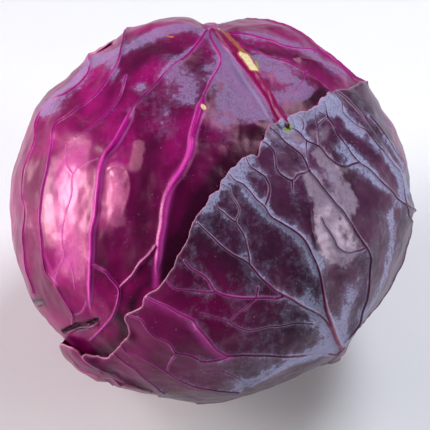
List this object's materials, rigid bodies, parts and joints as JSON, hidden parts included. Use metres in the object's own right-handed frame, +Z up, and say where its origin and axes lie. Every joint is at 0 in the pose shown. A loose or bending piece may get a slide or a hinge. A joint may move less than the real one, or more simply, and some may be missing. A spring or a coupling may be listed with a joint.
{
  "type": "cabbage head",
  "caption": "Round head of red cabbage with wrapped, veined outer leaves, standing on its cut stem.",
  "frame": {"origin": "centre of the stem's cut face, which the head stands on", "axes": "+Z up through the crown of the head, -Y towards the dark front leaf, +X to its right"},
  "size_m": [0.1683, 0.1656, 0.1402],
  "materials": {
    "red_leaf": "satin",
    "dark_leaf": "satin",
    "cut_stem": "matte"
  },
  "bodies": {
    "root": {"stem": "cut_stem", "heart": "red_leaf", "outer_leaf": "red_leaf", "front_leaf": "dark_leaf", "crown_leaf": "red_leaf", "right_leaf": "red_leaf", "under_leaf": "red_leaf", "back_leaf": "red_leaf"}
  },
  "joints": []
}
